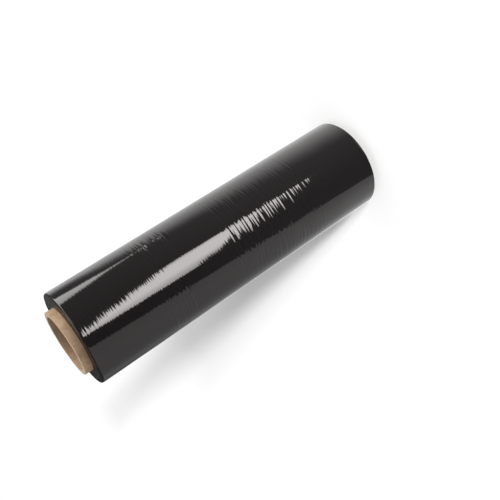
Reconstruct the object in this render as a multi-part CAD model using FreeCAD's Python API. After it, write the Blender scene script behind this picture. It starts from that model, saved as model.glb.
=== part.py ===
"""Stretch wrap roll: black plastic film wound on a cardboard tube, standing on one end of the tube.

Frame: the roll's axis is +Z, and the origin is the centre of the ring that it stands on. Millimetres.
"""

import math
import os

import FreeCAD
import Part

# Cardboard tube
core_bore_d = 76.0
core_wall = 6.5
core_overhang = 10.5  # how far the tube stands out of the film, at each end
core_edge_break = 0.5  # flat that breaks the outer edge of each cut end

# Wound film
film_width = 450.0
winding_thickness = 20.0  # thickness of all the turns together
film_corner_r = 2.5  # soft outer corner of the winding
film_corner_flats = 3  # short flats that make up the corner

# Turns that show on each end of the winding, as groups with a groove between them
turn_group_width = 3.5
turn_groove_depth = 0.7
turn_groove_width = 1.0
face_dish_depth = 0.4  # the turns beside the tube lie up to this much deeper than the outermost ones
group_stagger_depth = 0.35  # every other group stands back by this much

# Tight hoops in the outer turns, side by side in clusters over the stretch where they show
hoop_clusters = 3
hoops_in_cluster = 4
hoop_height = 0.3
hoop_pitch = 5.0
hoop_zone_start = 90.0  # from the lower end of the film to the first cluster
cluster_spacing = 38.0

# Sizes that follow from the ones above
core_bore_r = core_bore_d / 2
core_r = core_bore_r + core_wall
core_length = film_width + 2 * core_overhang
roll_r = core_r + winding_thickness
film_low = core_overhang
film_high = core_overhang + film_width
turns_span = winding_thickness - film_corner_r
turn_groups = max(1, round(turns_span / turn_group_width))
cluster_pitch = hoops_in_cluster * hoop_pitch + cluster_spacing
full_turn = 360.0


def point(r, z):
    """A point of a half section, at radius r and height z."""
    return FreeCAD.Vector(r, 0, z)


def revolved(outline):
    """The solid that a closed outline of a half section makes in one turn about the roll's axis."""
    wire = Part.makePolygon(outline + outline[:1])
    return Part.Face(wire).revolve(point(0, 0), FreeCAD.Vector(0, 0, 1), full_turn)


def group_depth(group):
    """How far a group of turns lies below the outermost one, which is level with the end of the film."""
    if group == turn_groups - 1:
        return 0.0
    return face_dish_depth * (1 - group / turn_groups) ** 2 + group_stagger_depth * (group % 2)


def end_turns(face_z, outward):
    """One end of the winding, from the tube to the start of its corner.

    outward is +1 on the upper end and -1 on the lower one.
    """
    pitch = turns_span / turn_groups
    outline = []
    for group in range(turn_groups):
        inner = core_r + group * pitch
        outer = inner + pitch
        level = face_z - outward * group_depth(group)
        outline.append(point(inner, level))
        if group < turn_groups - 1:
            outline.append(point(outer - turn_groove_width, level))
            outline.append(point(outer - turn_groove_width / 2, level - outward * turn_groove_depth))
        else:
            outline.append(point(outer, level))
    return outline


def corner(face_z, outward):
    """The winding's soft outer corner, from its end to its side, without the first point."""
    centre = point(roll_r - film_corner_r, face_z - outward * film_corner_r)
    outline = []
    for flat in range(film_corner_flats):
        turned = math.pi / 2 * (flat + 1) / film_corner_flats
        reach = FreeCAD.Vector(math.sin(turned), 0, outward * math.cos(turned))
        outline.append(centre + reach * film_corner_r)
    return outline


def side_hoops():
    """The winding's side, upwards, with its hoops standing proud."""
    outline = []
    for cluster in range(hoop_clusters):
        start = film_low + hoop_zone_start + cluster * cluster_pitch
        outline.append(point(roll_r, start))
        for hoop in range(hoops_in_cluster):
            low = start + hoop * hoop_pitch
            outline.append(point(roll_r + hoop_height, low + hoop_pitch / 2))
            outline.append(point(roll_r, low + hoop_pitch))
    return outline


def make_cardboard_core():
    """The tube: a plain bore from end to end, and square cut ends with the outer edge just broken."""
    tube = Part.makeCylinder(core_r, core_length)
    rims = [edge for edge in tube.Edges if isinstance(edge.Curve, Part.Circle)]
    tube = tube.makeChamfer(core_edge_break, rims)
    return tube.cut(Part.makeCylinder(core_bore_r, core_length))


def make_wound_film():
    """The winding: all its turns as one solid, tight on the tube."""
    lower = end_turns(film_low, -1) + corner(film_low, -1)
    upper = end_turns(film_high, 1) + corner(film_high, 1)
    return revolved(lower + side_hoops() + upper[::-1])


def main():
    os.makedirs("parts", exist_ok=True)
    pieces = {"cardboard_core": make_cardboard_core(), "wound_film": make_wound_film()}
    for node, shape in pieces.items():
        solid = shape.Solids[0]
        print(node, "valid", solid.isValid(), "solids", len(shape.Solids), "volume mm3", round(solid.Volume))
        solid.exportStep(f"parts/{node}.step")


main()
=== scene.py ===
"""Looks of the stretch wrap roll: glossy black film with its wrinkles, on a spiral-wound cardboard tube."""

import math

import bmesh
import bpy
from mathutils import Matrix, Vector, noise


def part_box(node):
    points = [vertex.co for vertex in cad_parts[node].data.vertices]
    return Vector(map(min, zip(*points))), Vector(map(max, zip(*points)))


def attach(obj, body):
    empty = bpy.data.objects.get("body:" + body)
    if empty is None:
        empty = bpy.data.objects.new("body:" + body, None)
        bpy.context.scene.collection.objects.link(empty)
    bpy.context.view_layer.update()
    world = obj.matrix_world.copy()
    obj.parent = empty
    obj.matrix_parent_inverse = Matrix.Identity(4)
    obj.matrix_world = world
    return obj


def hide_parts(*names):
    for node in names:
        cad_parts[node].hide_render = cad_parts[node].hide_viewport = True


MM = 0.001
FULL_TURN = 2 * math.pi
DEGREES = 180 / math.pi  # in a radian

# Mesh of the wound film
FILM_STEPS = 96  # round the roll
SIDE_CUTS = 800  # along its side
END_CUTS = 44  # from the tube to the corner, on each end
CORNER_RADIUS = 2.5 * MM
CORNER_SEGMENTS = 6
HOOP_HEIGHT = 0.3 * MM  # how far the frame's hoops stand proud of the film
TINY = 0.01 * MM
END_NORMAL_Z = 0.75  # a face whose normal points this much along the axis is on an end of the winding

# Wrinkles round the film's side: height of the waves, their length along the roll, how far round it they run
FINE_WRINKLE = (0.025 * MM, 1.3 * MM, 40 * MM)
TIGHT_HOOP = (0.125 * MM, 2.3 * MM, 38 * MM)
SLOW_WAVE = (0.10 * MM, 30 * MM, 60 * MM)
WRINKLED_CORNER = 0.1 * MM  # how far in from the side, at the corners, the wrinkles still run
FINE_ZONE = (0.30, 0.35)  # heights on the roll between which the fine wrinkles rise to their full height
CALM_FINE = 0.3  # share of it that they have lower down
HOOP_ZONE = (0.112, 0.240)  # heights on the roll between which the hoops are tight
CALM_HOOPS = 0.08  # share of the hoops' height that is left outside that zone
HOOP_UNEVENNESS = 1.1  # how much higher or lower than the others a bunch of hoops is
HOOP_BUNCH = 12 * MM  # length of a bunch along the roll
SIDE_HOOPS = 0.35  # share of the hoops' height on the roll's +X and -X sides
RIPPLE_ZONE = (0.312, 0.350)  # heights between which the film is rippled, halfway between front and sides
RIPPLE_SHARE = 1.1  # share of the hoops' full height that the ripples have
ZONE_FADE = 14 * MM  # beyond the hoops' and the ripples' zones

# Turns on the ends of the winding: how far they stand proud or back, and how wide they are
SINGLE_TURNS = (0.15 * MM, 0.55 * MM)
TURN_GROUPS = (0.45 * MM, 2.6 * MM)
INNER_DISH = 0.1 * MM  # how much deeper than the outermost turns the innermost ones lie
TURN_REACH = 70 * MM  # how far round the roll a turn keeps its depth
TURN_FADE = (0.02, 0.12)  # share of the way in from the side over which the turns start to differ
PLAIN_CORNER = 0.2  # share of the corner's radius that stays as it is
END_SHIFT = 7  # moves the noise, so that the two ends differ

# Mesh of the cardboard tube
CORE_WALL = 6.5 * MM
CORE_STEPS = 128
CORE_SIDE_CUTS = 60
RIM_CUTS = 10
RIM_ROUND = 0.35 * MM
RIM_SEGMENTS = 3
RIM_WEAR = (0.25 * MM, 12 * MM, 9 * MM)  # how far the cut ends are rubbed down, as the waves above

# Surface of the film and of its turns' cut edges. A noise is (scale across the roll, scale along or outwards).
FILM_BLACK = (0.0095, 0.008, 0.008, 1)
FILM_REFLECTION = (1.0, 0.965, 0.95, 1)
FILM_ROUGHNESS = 0.06
HAIRLINES = (25, 1100)
HAIRLINE_DEPTH = 0.006 * MM
EDGES_BLACK = (0.009, 0.008, 0.009, 1)
EDGES_SPECULAR = 0.2
EDGES_ROUGHNESS = 0.28
EDGE_RINGS = (12, 2600)
EDGE_RING_DEPTH = 0.04 * MM

# Paper board that the tube is wound from
PAPER = ((0.40, 0.265, 0.165), (0.52, 0.36, 0.235))
BLOTCH_SCALE = 60
BLOTCH_EDGES = (0.35, 0.65)
FIBRE = (0.24, 0.15, 0.09)
FIBRES = (900, 2600)
FIBRE_EDGES = (0.60, 0.78, 0.0, 0.40)
# Painted shade: a darker colour mixed into the paper inside the bore, where the tube shades itself
BORE_PAINTED_SHADE = (0.27, 0.17, 0.12)
BORE_PAINTED_SHADE_SHARE = 0.3
CUT_PAPER = ((0.50, 0.37, 0.255), (0.66, 0.51, 0.37))
PLY_THICKNESS = 0.8 * MM
PLY_WANDER = 5  # how far from round the plies are, as a phase
PLY_WANDER_SCALE = 90
STRIP_CLIMB = 135 * MM  # of the paper strips, along the tube in one turn
SEAM_START = 0.30
SEAM_WIDTH = 0.0022  # share of a turn
SEAM = (0.14, 0.085, 0.05)
SEAM_SHARE = 0.6
BORE_EDGE = (38.1 * MM, 38.5 * MM)
OUTER_EDGE = (44.4 * MM, 44.0 * MM)
PAPER_SPECULAR = 0.3
PAPER_ROUGHNESS = 0.82
PAPER_RELIEF = 0.16 * MM
RELIEF_SHARES = (0.5, 0.3, 0.5)  # of the fibres, the plies on the cut ends and the seam

# Camera, from the outline of the roll in the picture
CAMERA_PLACE = Vector((-0.0291, -0.9345, 0.5807))
CAMERA_LOOKS_DOWN = math.radians(21.98)
CAMERA_TURNED = math.radians(-123.6)
CAMERA_LENS = 54.35
SENSOR_WIDTH = 36.0
CAMERA_BEARING = 1.8  # degrees round the roll from -Y towards -X

# Studio as the gloss sees it, in bearings round the roll from the camera and elevations, in degrees.
# A ramp is (start, end, value at the start, value at the end), or 0 to 1 where the values are left out.
FRONT_SOFTBOX = ((7.6, -6.1), (-23.5, -16.1), (-16.0, -26.9), (16.5, -17.6))
FRONT_SOFTBOX_POWER = 12.5
FRONT_SOFTBOX_BLUR = 0.8
FRONT_SOFTBOX_ENDS = ((-2, 14, 1.0, 0.62), (-26, -15, 0.55, 1.0))  # ramps by bearing
SIDE_SOFTBOX = ((-108.0, 10.0), (-60.0, 10.0), (-81.0, -7.7), (-95.0, -13.3), (-104.0, -7.7))
SIDE_SOFTBOX_POWER = 5.6
SIDE_SOFTBOX_BLUR = 1.5
REAR_SOFTBOX = ((173.0, -2.0), (187.0, -2.0), (187.0, -50.0), (173.0, -50.0))
REAR_SOFTBOX_POWER = 4.0
REAR_SOFTBOX_BLUR = 1.0
OVERHEAD_SOFTBOX_WAY = Vector((0.35, -0.25, 0.90)).normalized()
OVERHEAD_SOFTBOX_EDGE = (0.90, 0.93)  # as the cosine of the angle from its middle
OVERHEAD_SOFTBOX_POWER = 2.8

# Soft streak low down, which only views from above show
LOW_STREAK_POWER = 4.0
LOW_STREAK_BEARING = -20
LOW_STREAK_SIDES = (34, 6)  # ramp by the distance from that bearing
LOW_STREAK_TOP = (-36, -48)  # ramp by elevation

# Glow just above the horizon, on the +X side, which the film's rounded corner shows
HORIZON_GLOW_POWER = 1.7
HORIZON_GLOW_ELEVATIONS = ((-3, 8), (45, 20))  # ramps at its bottom and top
HORIZON_GLOW_BEARINGS = ((-22, -34), (-125, -100))  # ramps at its near and far end

# Dim light from where there is neither wall nor softbox
DIM_BY_BEARING = (30, -60, 0.085, 0.22)
DIM_BY_ELEVATION = (-8, -32, 0.0, 0.15)

# White wall that the roll's +X side shows, which is the upper one in the picture. It ends at a bearing of
# UPPER_EDGE_FACTOR times a power of the steepness, which is how far down a ray goes for each metre out.
LEAST_STEEPNESS = 0.1
UPPER_EDGE_LEAST_STEEPNESS = 0.165
UPPER_EDGE_POWER = -0.4
UPPER_EDGE_FACTOR = -64
UPPER_BLUR = (-12, -32, 13, 28)  # half the width of the soft edge, by elevation
UPPER_LIGHT = (-125, -170, 1.28, 0.7)  # by bearing

# White wall that the roll's -X side shows. The bearing of its edge rises evenly with the steepness.
LOWER_EDGE_FACTOR = 57.3
LOWER_EDGE_START = 28.6
LOWER_EDGE_BLUR = 1.5
LOWER_LIGHT = (65, 125, 0.80, 0.36)
LOWER_LIGHT_BELOW = ((-22, -33, 0.0, 0.4), (60, 100))  # ramps by elevation and bearing
LOWER_LIGHT_BEHIND = (150, 180, 0.0, 0.6)
LOWER_SHADE = ((132, 156), (-20, -9))  # ramps by bearing and elevation
LOWER_SHADE_DEPTH = 0.85

# What dims the room: the place above the horizon behind the roll, which the film's upper end shows, and
# the ways overhead and far down
BEHIND_ABOVE = ((-1, 5), (100, 140))  # ramps by elevation, and by bearing to either side
WALLS_BEHIND_ABOVE = 0.03  # share of the walls' light that is left there
DIM_BEHIND_ABOVE = 0.7  # share of the dim light
CEILING_FADE = (30, 55, 1.0, 0.3)
STEEP_FADE = (-44, -70, 1.0, 0.15)

# Light on what isn't glossy
BACKDROP_WHITE = 1.0
AMBIENT = 0.39  # from the front and back
SIDE_AMBIENT = 0.50  # how much more comes from the two sides
KEY_LIGHT = (2.15, Vector((0.75, -0.27, 0.58)).normalized(), 34)  # power, way to it, softness in degrees
TABLE_LIGHTS = (  # as the key light; the second one makes the long faint shade
    (5.6, Vector((0.14, -0.95, 0.24)).normalized(), 12),
    (14.0, Vector((0.10, -0.95, 0.085)).normalized(), 4),
)
TABLE_SIZE = 12
TABLE_WHITE = 0.8
TABLE_GLOW = 0.01


# Numbers in node trees


class Term:
    """A number in a node tree. Arithmetic with it adds Math nodes to the tree."""

    def __init__(self, tree, socket):
        self.tree = tree
        self.socket = socket

    def math(self, operation, *others):
        node = self.tree.nodes.new("ShaderNodeMath")
        node.operation = operation
        for socket, value in zip(node.inputs, (self, *others)):
            feed(self.tree, socket, value)
        return Term(self.tree, node.outputs[0])

    def __add__(self, other):
        return self.math("ADD", other)

    def __sub__(self, other):
        return self.math("SUBTRACT", other)

    def __mul__(self, other):
        return self.math("MULTIPLY", other)

    def __truediv__(self, other):
        return self.math("DIVIDE", other)

    def ramp(self, start, end, low=0.0, high=1.0):
        """A smooth step from low at start to high at end. start may be the larger one."""
        node = self.tree.nodes.new("ShaderNodeMapRange")
        node.interpolation_type = "SMOOTHSTEP"
        names = ("Value", "From Min", "From Max", "To Min", "To Max")
        for name, value in zip(names, (self, start, end, low, high)):
            feed(self.tree, node.inputs[name], value)
        return Term(self.tree, node.outputs["Result"])


def feed(tree, socket, value):
    """Links a term to a socket, or sets the socket to a plain value."""
    if isinstance(value, Term):
        tree.links.new(value.socket, socket)
    else:
        socket.default_value = value


def parts_of(tree, vector_socket):
    """The three numbers of a vector."""
    node = tree.nodes.new("ShaderNodeSeparateXYZ")
    tree.links.new(vector_socket, node.inputs[0])
    return [Term(tree, socket) for socket in node.outputs]


def coordinates(tree, kind):
    """x, y and z of the shaded point (kind "Object"), or of a ray's way (kind "Generated", in the world)."""
    return parts_of(tree, tree.nodes.new("ShaderNodeTexCoord").outputs[kind])


def distance_from_axis(x, y):
    return (x * x + y * y).math("SQRT")


def vector_of(tree, x, y, z):
    """The vector socket that three numbers make."""
    node = tree.nodes.new("ShaderNodeCombineXYZ")
    for socket, value in zip(node.inputs, (x, y, z)):
        feed(tree, socket, value)
    return node.outputs[0]


def noise_at(tree, vector_socket, scale=1.0, detail=3.0, rough=0.6):
    """Noise between 0 and 1 at a place."""
    node = tree.nodes.new("ShaderNodeTexNoise")
    node.inputs["Scale"].default_value = scale
    node.inputs["Detail"].default_value = detail
    node.inputs["Roughness"].default_value = rough
    tree.links.new(vector_socket, node.inputs["Vector"])
    return Term(tree, node.outputs["Fac"])


def mixed_colour(tree, share, first, second):
    """A blend of two colours, each a colour socket or three numbers."""
    node = tree.nodes.new("ShaderNodeMix")
    node.data_type = "RGBA"
    feed(tree, node.inputs["Factor"], share)
    for name, colour in (("A", first), ("B", second)):
        socket = [s for s in node.inputs if s.name == name and s.type == "RGBA"][0]
        if isinstance(colour, tuple):
            socket.default_value = (*colour, 1.0)
        else:
            tree.links.new(colour, socket)
    return [s for s in node.outputs if s.type == "RGBA"][0]


def bumped(tree, shader, height, distance):
    """Gives a shader a bump from a height between 0 and 1, where 1 stands that far out."""
    node = tree.nodes.new("ShaderNodeBump")
    node.inputs["Strength"].default_value = 1.0
    node.inputs["Distance"].default_value = distance
    feed(tree, node.inputs["Height"], height)
    tree.links.new(node.outputs["Normal"], shader.inputs["Normal"])


def new_material(name, inputs):
    """A material with these plain values on its shader, by socket name."""
    material = bpy.data.materials.new(name)
    material.use_nodes = True
    shader = material.node_tree.nodes["Principled BSDF"]
    for socket_name, value in inputs.items():
        shader.inputs[socket_name].default_value = value
    return material, material.node_tree, shader


# Materials


def stretch_film_material():
    """Black film, tight and glossy, with hairlines round the roll."""
    material, tree, shader = new_material("stretch_film_black", {
        "Base Color": FILM_BLACK,
        "Specular Tint": FILM_REFLECTION,
        "Roughness": FILM_ROUGHNESS,
    })
    x, y, z = coordinates(tree, "Object")
    across, along = HAIRLINES
    hairlines = noise_at(tree, vector_of(tree, x * across, y * across, z * along))
    bumped(tree, shader, hairlines, HAIRLINE_DEPTH)
    return material


def turn_edges_material():
    """The cut edges of the film's turns, on the ends of the winding."""
    material, tree, shader = new_material("stretch_film_turn_edges", {
        "Base Color": EDGES_BLACK,
        "Specular IOR Level": EDGES_SPECULAR,
        "Roughness": EDGES_ROUGHNESS,
    })
    x, y, _ = coordinates(tree, "Object")
    across, outwards = EDGE_RINGS
    rings = noise_at(tree, vector_of(tree, x * across, y * across, distance_from_axis(x, y) * outwards))
    bumped(tree, shader, rings, EDGE_RING_DEPTH)
    return material


def kraft_board_material():
    """Brown paper board, spiral wound: fibres, a seam round the tube, its plies on the cut ends, and painted
    shade inside the bore.
    """
    material, tree, shader = new_material("kraft_board", {
        "Roughness": PAPER_ROUGHNESS,
        "Specular IOR Level": PAPER_SPECULAR,
    })
    x, y, z = coordinates(tree, "Object")
    radius = distance_from_axis(x, y)
    turned = y.math("ARCTAN2", x) / FULL_TURN

    blotches = noise_at(tree, vector_of(tree, x, y, z), BLOTCH_SCALE, 4.0)
    paper = mixed_colour(tree, blotches.ramp(*BLOTCH_EDGES), *PAPER)
    across, along = FIBRES
    fibres = noise_at(tree, vector_of(tree, x * across, y * across, z * along), 1.0, 4.0, 0.7)
    paper = mixed_colour(tree, fibres.ramp(*FIBRE_EDGES), paper, FIBRE)

    # painted shade: the paper inside the bore is darkened
    bore_shade = radius.ramp(*reversed(BORE_EDGE), 0.0, BORE_PAINTED_SHADE_SHARE)
    paper = mixed_colour(tree, bore_shade, paper, BORE_PAINTED_SHADE)

    strip = (z / STRIP_CLIMB - turned + SEAM_START).math("FRACT")
    seam = strip.ramp(0.0, SEAM_WIDTH, 1.0, 0.0) + strip.ramp(1 - SEAM_WIDTH, 1.0)
    paper = mixed_colour(tree, seam * SEAM_SHARE, paper, SEAM)

    on_cut = radius.ramp(*BORE_EDGE) * radius.ramp(*OUTER_EDGE)
    wander = noise_at(tree, vector_of(tree, x, y, z), PLY_WANDER_SCALE, 2.0, 0.5)
    plies = (radius * (FULL_TURN / PLY_THICKNESS) + wander * PLY_WANDER).math("SINE") * 0.5 + 0.5
    paper = mixed_colour(tree, on_cut, paper, mixed_colour(tree, plies * plies, *CUT_PAPER))
    tree.links.new(paper, shader.inputs["Base Color"])

    of_fibres, of_plies, of_seam = RELIEF_SHARES
    relief = fibres * of_fibres + plies * on_cut * of_plies - seam * of_seam
    bumped(tree, shader, relief, PAPER_RELIEF)
    return material


def table_material():
    """Plain white table top that is lit a little from below, as a product table is."""
    material, _, _ = new_material("white_table", {
        "Base Color": (TABLE_WHITE, TABLE_WHITE, TABLE_WHITE, 1),
        "Roughness": 1.0,
        "Specular IOR Level": 0.0,
        "Emission Color": (1, 1, 1, 1),
        "Emission Strength": TABLE_GLOW,
    })
    return material


# Meshes


def closed_section(bm, corners):
    """A closed outline in the XZ plane, from its corners as (radius, height)."""
    ring = [bm.verts.new((radius, 0, height)) for radius, height in corners]
    for start, end in zip(ring, ring[1:] + ring[:1]):
        bm.edges.new((start, end))
    return ring


def round_corners(bm, corners, radius, segments):
    """Rounds these corners of an outline."""
    bmesh.ops.bevel(
        bm, geom=corners, offset=radius, segments=segments, profile=0.5, affect="VERTICES", material=-1
    )


def cut_long_edges(bm, axis, least, cuts):
    """Divides each edge that runs along an axis (0 is X, 2 is Z) and is longer than least."""
    edges = [e for e in bm.edges if abs(e.verts[0].co[axis] - e.verts[1].co[axis]) > least]
    bmesh.ops.subdivide_edges(bm, edges=edges, cuts=cuts)


def spin_round(bm, steps):
    """Turns the section into a closed solid round the roll's axis."""
    section = bm.verts[:] + bm.edges[:]
    bmesh.ops.spin(
        bm, geom=section, cent=(0, 0, 0), axis=(0, 0, 1), angle=FULL_TURN, steps=steps, use_merge=True
    )
    bmesh.ops.recalc_face_normals(bm, faces=bm.faces)


def waves(place, height, length, reach):
    """Height of waves that are short along the roll and run far round it."""
    return height * noise.noise(Vector((place.x / reach, place.y / reach, place.z / length)))


def step_up(value, start, end):
    """A smooth step from 0 at start to 1 at end."""
    share = min(1.0, max(0.0, (value - start) / (end - start)))
    return share * share * (3 - 2 * share)


def inside_zone(height, zone):
    """1 between the two heights of a zone, fading to 0 beyond them."""
    low, high = zone
    return step_up(height, low - ZONE_FADE, low) * (1 - step_up(height, high, high + ZONE_FADE))


def wrinkle_side(bm, radius):
    """Moves the film's side in and out: fine wrinkles, tight hoops in bunches, ripples and slow waves."""
    for vert in bm.verts:
        place = vert.co.copy()
        if place.xy.length < radius - WRINKLED_CORNER:
            continue
        fine_share = CALM_FINE + (1 - CALM_FINE) * step_up(place.z, *FINE_ZONE)
        hoop_share = CALM_HOOPS + (1 - CALM_HOOPS) * inside_zone(place.z, HOOP_ZONE)
        bunch = 1 + waves(place, HOOP_UNEVENNESS, HOOP_BUNCH, radius)
        hoop = waves(place, *TIGHT_HOOP) * bunch
        front = (place.y / radius) ** 2  # 1 in front and behind, 0 at the sides
        halfway = 4 * front * (1 - front)

        proud = waves(place, *FINE_WRINKLE) * fine_share + hoop * hoop_share
        proud *= SIDE_HOOPS + (1 - SIDE_HOOPS) * front
        proud += waves(place, *SLOW_WAVE)
        proud += hoop * RIPPLE_SHARE * inside_zone(place.z, RIPPLE_ZONE) * halfway
        vert.co.xy = place.xy * (1 + proud / radius)


def stagger_turns(bm, inner, outer, low, high):
    """Moves the turns on both ends of the winding a little in and out along the axis."""
    middle = (low + high) / 2
    for vert in bm.verts:
        radius = vert.co.xy.length
        at_end = min(abs(vert.co.z - low), abs(vert.co.z - high)) < CORNER_RADIUS
        if not at_end or radius > outer - PLAIN_CORNER * CORNER_RADIUS:
            continue
        outward = 1 if vert.co.z > middle else -1
        share = (outer - radius) / (outer - inner)
        depth = INNER_DISH * share * share
        round_x, round_y = vert.co.xy / TURN_REACH
        for height, width in (SINGLE_TURNS, TURN_GROUPS):
            sample = Vector((round_x, round_y, outward * END_SHIFT + radius / width))
            depth += height * (0.5 + noise.noise(sample)) * step_up(share, *TURN_FADE)
        vert.co.z -= outward * depth


def make_object(bm, name, *materials):
    """A smooth-shaded object from a bmesh."""
    mesh = bpy.data.meshes.new(name)
    bm.to_mesh(mesh)
    bm.free()
    mesh.polygons.foreach_set("use_smooth", [True] * len(mesh.polygons))
    for material in materials:
        mesh.materials.append(material)
    piece = bpy.data.objects.new(name, mesh)
    bpy.context.scene.collection.objects.link(piece)
    return piece


def make_film(core_radius, roll_radius, low, high):
    """The winding, closed, tight on the tube, with soft outer corners."""
    bm = bmesh.new()
    corners = [(core_radius, low), (roll_radius, low), (roll_radius, high), (core_radius, high)]
    ring = closed_section(bm, corners)
    round_corners(bm, ring[1:3], CORNER_RADIUS, CORNER_SEGMENTS)
    side = [e for e in bm.edges if min(v.co.x for v in e.verts) > roll_radius - TINY]
    bmesh.ops.subdivide_edges(bm, edges=side, cuts=SIDE_CUTS)
    cut_long_edges(bm, 0, 2 * CORNER_RADIUS, END_CUTS)
    spin_round(bm, FILM_STEPS)
    wrinkle_side(bm, roll_radius)
    stagger_turns(bm, core_radius, roll_radius, low, high)
    for face in bm.faces:
        face.material_index = int(abs(face.normal.z) > END_NORMAL_Z)
    return make_object(bm, "wound_film_turns", stretch_film_material(), turn_edges_material())


def make_core(core_radius, low, high):
    """The cardboard tube, with slightly rounded and worn rims."""
    bore = core_radius - CORE_WALL
    bm = bmesh.new()
    ring = closed_section(bm, [(bore, low), (core_radius, low), (core_radius, high), (bore, high)])
    round_corners(bm, ring, RIM_ROUND, RIM_SEGMENTS)
    cut_long_edges(bm, 2, 10 * CORE_WALL, CORE_SIDE_CUTS)
    cut_long_edges(bm, 0, CORE_WALL / 2, RIM_CUTS)
    spin_round(bm, CORE_STEPS)
    for vert in bm.verts:
        into_tube = 1 if vert.co.z < (low + high) / 2 else -1
        if min(vert.co.z - low, high - vert.co.z) < RIM_ROUND:
            vert.co.z += into_tube * max(0, waves(vert.co, *RIM_WEAR))
    return make_object(bm, "cardboard_tube", kraft_board_material())


def make_floor():
    """The table top, which no reflection shows."""
    bm = bmesh.new()
    bmesh.ops.create_grid(bm, x_segments=1, y_segments=1, size=TABLE_SIZE)
    floor = make_object(bm, "floor", table_material())
    floor.visible_glossy = False
    return floor


# Camera and light


def make_camera():
    data = bpy.data.cameras.new("camera")
    data.lens = CAMERA_LENS
    data.sensor_width = SENSOR_WIDTH
    camera = bpy.data.objects.new("camera", data)
    tilt = Matrix.Rotation(math.pi / 2 - CAMERA_LOOKS_DOWN, 4, "X")
    turn = Matrix.Rotation(CAMERA_TURNED, 4, "Z")
    camera.matrix_world = Matrix.Translation(CAMERA_PLACE) @ tilt @ turn
    bpy.context.scene.collection.objects.link(camera)
    bpy.context.scene.camera = camera


def make_soft_sun(name, power, way, softness, lit_pieces):
    """A sun that lights only the given pieces, though every piece shades it. softness is in degrees."""
    data = bpy.data.lights.new(name, "SUN")
    data.energy = power
    data.angle = math.radians(softness)
    sun = bpy.data.objects.new(name, data)
    sun.rotation_mode = "QUATERNION"
    sun.rotation_quaternion = way.to_track_quat("Z", "Y")
    sun.visible_glossy = False
    bpy.context.scene.collection.objects.link(sun)
    lit = bpy.data.collections.new("lit_by_" + name)
    for piece in lit_pieces:
        lit.objects.link(piece)
    sun.light_linking.receiver_collection = lit


def inside_polygon(bearing, elevation, corners, blur):
    """1 inside a convex polygon of (bearing, elevation) and 0 outside, with a blurred edge."""
    middle = Vector([sum(c[i] for c in corners) / len(corners) for i in range(2)])
    depth = None
    for start, end in zip(corners, corners[1:] + corners[:1]):
        along = (Vector(end) - Vector(start)).normalized()
        inward = Vector((-along.y, along.x))
        if inward.dot(middle - Vector(start)) < 0:
            inward = -inward
        distance = bearing * inward.x + elevation * inward.y - inward.dot(Vector(start))
        depth = distance if depth is None else depth.math("MINIMUM", distance)
    return depth.ramp(-blur, blur)


def upper_wall(bearing, elevation, steepness):
    """The wall that the roll's +X side shows, with a soft edge."""
    edge = steepness.math("MAXIMUM", UPPER_EDGE_LEAST_STEEPNESS)
    edge = edge.math("POWER", UPPER_EDGE_POWER) * UPPER_EDGE_FACTOR
    blur = elevation.ramp(*UPPER_BLUR)
    return bearing.ramp(edge + blur, edge - blur) * bearing.ramp(*UPPER_LIGHT)


def lower_wall(bearing, elevation, steepness):
    """The wall that the roll's -X side shows, with a sharp edge."""
    edge = steepness * LOWER_EDGE_FACTOR + LOWER_EDGE_START
    below, below_bearings = LOWER_LIGHT_BELOW
    shade_bearings, shade_elevations = LOWER_SHADE
    light = bearing.ramp(*LOWER_LIGHT) + elevation.ramp(*below) * bearing.ramp(*below_bearings)
    light = light + bearing.ramp(*LOWER_LIGHT_BEHIND)
    shade = bearing.ramp(*shade_bearings) * elevation.ramp(*shade_elevations)
    light = light * (shade * -LOWER_SHADE_DEPTH + 1)
    return bearing.ramp(edge - LOWER_EDGE_BLUR, edge + LOWER_EDGE_BLUR) * light


def horizon_glow(bearing, elevation):
    """The light in a band just above the horizon, on the +X side."""
    bottom, top = HORIZON_GLOW_ELEVATIONS
    near, far = HORIZON_GLOW_BEARINGS
    band = elevation.ramp(*bottom) * elevation.ramp(*top)
    return band * bearing.ramp(*near) * bearing.ramp(*far) * HORIZON_GLOW_POWER


def softboxes(bearing, elevation):
    """The front, side and rear softboxes."""
    front = inside_polygon(bearing, elevation, FRONT_SOFTBOX, FRONT_SOFTBOX_BLUR)
    for end in FRONT_SOFTBOX_ENDS:
        front = front * bearing.ramp(*end)
    side = inside_polygon(bearing, elevation, SIDE_SOFTBOX, SIDE_SOFTBOX_BLUR)
    whole_bearing = bearing.math("LESS_THAN", 0) * 360 + bearing
    rear = inside_polygon(whole_bearing, elevation, REAR_SOFTBOX, REAR_SOFTBOX_BLUR)
    return front * FRONT_SOFTBOX_POWER + side * SIDE_SOFTBOX_POWER + rear * REAR_SOFTBOX_POWER


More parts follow.
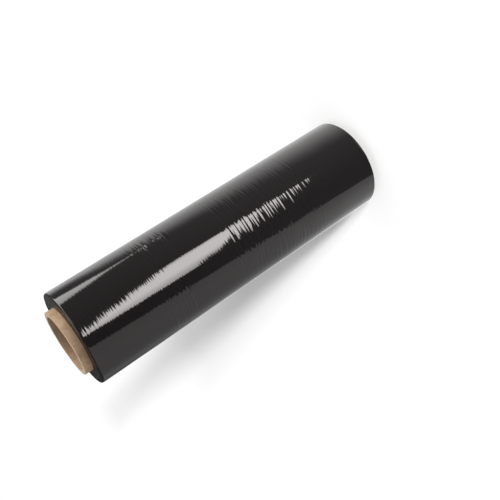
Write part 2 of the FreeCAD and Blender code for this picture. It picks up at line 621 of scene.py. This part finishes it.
def studio_in_gloss(tree):
    """Brightness of the studio by direction, for reflections: white walls, a dim front and softboxes."""
    x, y, z = coordinates(tree, "Generated")
    outwards = distance_from_axis(x, y)
    bearing = (x * -1).math("ARCTAN2", y * -1) * DEGREES - CAMERA_BEARING
    elevation = z.math("ARCTAN2", outwards) * DEGREES
    steepness = (z * -1 / outwards).math("MAXIMUM", LEAST_STEEPNESS)

    above, behind = BEHIND_ABOVE
    behind_above = elevation.ramp(*above) * bearing.math("ABSOLUTE").ramp(*behind)
    walls = upper_wall(bearing, elevation, steepness) + lower_wall(bearing, elevation, steepness)
    walls = walls * behind_above.ramp(0, 1, 1.0, WALLS_BEHIND_ABOVE) * elevation.ramp(*CEILING_FADE)
    dim = bearing.ramp(*DIM_BY_BEARING) + elevation.ramp(*DIM_BY_ELEVATION)
    dim = dim * behind_above.ramp(0, 1, 1.0, DIM_BEHIND_ABOVE)
    low_streak = (bearing - LOW_STREAK_BEARING).math("ABSOLUTE").ramp(*LOW_STREAK_SIDES)
    low_streak = low_streak * elevation.ramp(*LOW_STREAK_TOP) * LOW_STREAK_POWER
    room = (walls + dim + low_streak) * elevation.ramp(*STEEP_FADE)

    way = OVERHEAD_SOFTBOX_WAY
    overhead = (x * way.x + y * way.y + z * way.z).ramp(*OVERHEAD_SOFTBOX_EDGE) * OVERHEAD_SOFTBOX_POWER
    return room + horizon_glow(bearing, elevation) + softboxes(bearing, elevation) + overhead


def make_world():
    """White to the camera, even light to matt surfaces, and the studio to gloss."""
    world = bpy.data.worlds.new("studio")
    world.use_nodes = True
    world.cycles.sampling_method = "NONE"
    tree = world.node_tree
    path = tree.nodes.new("ShaderNodeLightPath")
    seen = Term(tree, path.outputs["Is Camera Ray"])
    matt = Term(tree, path.outputs["Is Diffuse Ray"])
    sideways = coordinates(tree, "Generated")[0]
    light = studio_in_gloss(tree)
    light = light + matt * (sideways * sideways * SIDE_AMBIENT + AMBIENT - light)
    light = light + seen * (light * -1 + BACKDROP_WHITE)
    background = tree.nodes["Background"]
    feed(tree, background.inputs["Strength"], light)
    background.inputs["Color"].default_value = (1, 1, 1, 1)
    bpy.context.scene.world = world


# The scene

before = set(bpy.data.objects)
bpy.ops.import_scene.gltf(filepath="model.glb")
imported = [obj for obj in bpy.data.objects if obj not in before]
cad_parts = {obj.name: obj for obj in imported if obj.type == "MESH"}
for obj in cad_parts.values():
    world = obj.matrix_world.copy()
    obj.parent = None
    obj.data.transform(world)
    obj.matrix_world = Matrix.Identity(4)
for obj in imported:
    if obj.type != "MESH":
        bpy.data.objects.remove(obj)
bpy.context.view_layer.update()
core_low, core_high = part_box("cardboard_core")
film_low, film_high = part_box("wound_film")
tube_radius = core_high.x
film_radius = film_high.x - HOOP_HEIGHT

make_camera()
make_world()
floor = make_floor()

film = make_film(tube_radius, film_radius, film_low.z, film_high.z)
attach(film, "root")
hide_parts("wound_film")

core = make_core(tube_radius, core_low.z, core_high.z)
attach(core, "root")
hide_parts("cardboard_core")

make_soft_sun("key_light", *KEY_LIGHT, [film, core])
for number, table_light in enumerate(TABLE_LIGHTS):
    make_soft_sun(f"table_light_{number}", *table_light, [floor])

bpy.context.scene.view_settings.view_transform = "Standard"
